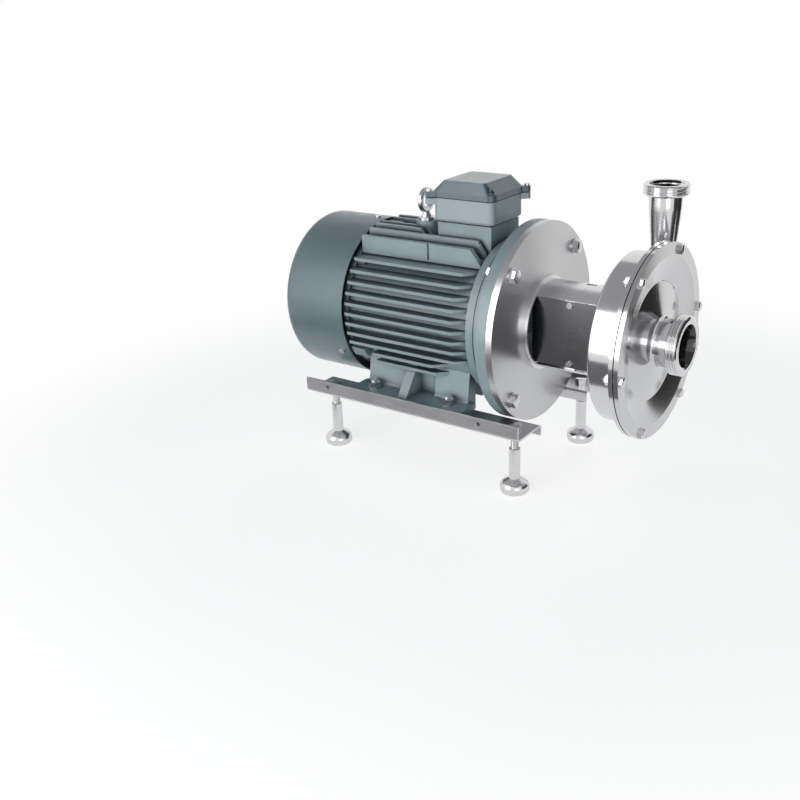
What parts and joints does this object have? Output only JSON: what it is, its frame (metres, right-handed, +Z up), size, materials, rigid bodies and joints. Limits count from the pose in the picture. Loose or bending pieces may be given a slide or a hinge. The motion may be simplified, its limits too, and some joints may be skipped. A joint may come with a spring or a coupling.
{
  "type": "centrifugal pump",
  "caption": "Close-coupled hygienic centrifugal pump: finned foot-mounted motor, stainless casing with axial suction and upright discharge, on levelling feet.",
  "frame": {"origin": "centre of the suction port's bore at its outer face, on the shaft's axis", "axes": "+X out of the suction port along the shaft, +Z up and along the discharge, -Y the side with the guarded window"},
  "size_m": [0.6275, 0.3, 0.4405],
  "materials": {
    "motor_paint": "semi-matt teal-grey machine enamel",
    "brushed_stainless": "brushed stainless steel",
    "polished_stainless": "polished stainless steel",
    "rail_steel": "satin stainless sheet",
    "feet_steel": "turned stainless steel",
    "zinc": "plain steel and zinc fasteners",
    "shaft_steel": "ground steel",
    "bearing_steel": "ground bearing steel",
    "laminations": "varnished laminations",
    "cage_metal": "cast aluminium",
    "winding_copper": "lacquered copper wire",
    "stud_brass": "plain brass",
    "gland_metal": "nickel-plated brass",
    "seal_rubber": "black rubber",
    "fan_plastic": "black moulded plastic",
    "seal_face": "dark lapped seal rings"
  },
  "bodies": {
    "pump_unit": {"adapter_disc": "brushed_stainless", "bearing_outer_rings": "bearing_steel", "box_gaskets": "seal_rubber", "box_lid_screws": "zinc", "cable_gland": "gland_metal", "casing_gasket": "seal_rubber", "cover_bolts": "zinc", "cover_nuts": "zinc", "discharge_ferrule": "polished_stainless", "drive_end_shield": "motor_paint", "fan_cover": "motor_paint", "fan_cover_screws": "zinc", "far_rail": "rail_steel", "flange_bolts": "zinc", "flange_nuts": "zinc", "flange_washers": "zinc", "front_cover": "polished_stainless", "gland_nut": "gland_metal", "guard_screws": "zinc", "lantern_tube": "brushed_stainless", "leveling_studs": "zinc", "lifting_eye": "zinc", "motor_foot_bolts": "zinc", "motor_foot_nuts": "zinc", "motor_foot_washers": "zinc", "motor_frame": "motor_paint", "near_rail": "rail_steel", "pump_casing": "polished_stainless", "rear_end_shield": "motor_paint", "seal_carrier": "polished_stainless", "seal_carrier_screws": "zinc", "shield_screws": "zinc", "stationary_seal_ring": "seal_face", "stator_core": "laminations", "stator_winding": "winding_copper", "suction_ferrule": "polished_stainless", "terminal_board": "fan_plastic", "terminal_box_base": "motor_paint", "terminal_box_lid": "motor_paint", "terminal_studs": "stud_brass", "window_guard": "brushed_stainless"},
    "rotor": {"motor_shaft": "shaft_steel", "rotor_core": "laminations", "rotor_cage": "cage_metal", "bearing_inner_rings": "bearing_steel", "bearing_balls": "bearing_steel", "cooling_fan": "fan_plastic", "fan_circlip": "zinc", "stub_shaft": "shaft_steel", "clamping_screws": "zinc", "shaft_keys": "shaft_steel", "slinger_ring": "seal_rubber", "rotating_seal_ring": "seal_face", "seal_spring": "shaft_steel", "impeller": "polished_stainless", "impeller_nut": "polished_stainless"},
    "front_near_foot": {"front_near_leveling_foot": "feet_steel"},
    "front_far_foot": {"front_far_leveling_foot": "feet_steel"},
    "rear_near_foot": {"rear_near_leveling_foot": "feet_steel"},
    "rear_far_foot": {"rear_far_leveling_foot": "feet_steel"}
  },
  "joints": [
    {"name": "rotor_spin", "type": "hinge", "parent": "pump_unit", "child": "rotor", "pos_m": [0, 0, 0], "axis": [1, 0, 0], "continuous": true},
    {"name": "front_near_foot_travel", "type": "slide", "parent": "pump_unit", "child": "front_near_foot", "axis": [0, 0, -1], "range_m": [-0.025, 0.02]},
    {"name": "front_far_foot_travel", "type": "slide", "parent": "pump_unit", "child": "front_far_foot", "axis": [0, 0, -1], "range_m": [-0.025, 0.02]},
    {"name": "rear_near_foot_travel", "type": "slide", "parent": "pump_unit", "child": "rear_near_foot", "axis": [0, 0, -1], "range_m": [-0.025, 0.02]},
    {"name": "rear_far_foot_travel", "type": "slide", "parent": "pump_unit", "child": "rear_far_foot", "axis": [0, 0, -1], "range_m": [-0.025, 0.02]}
  ]
}
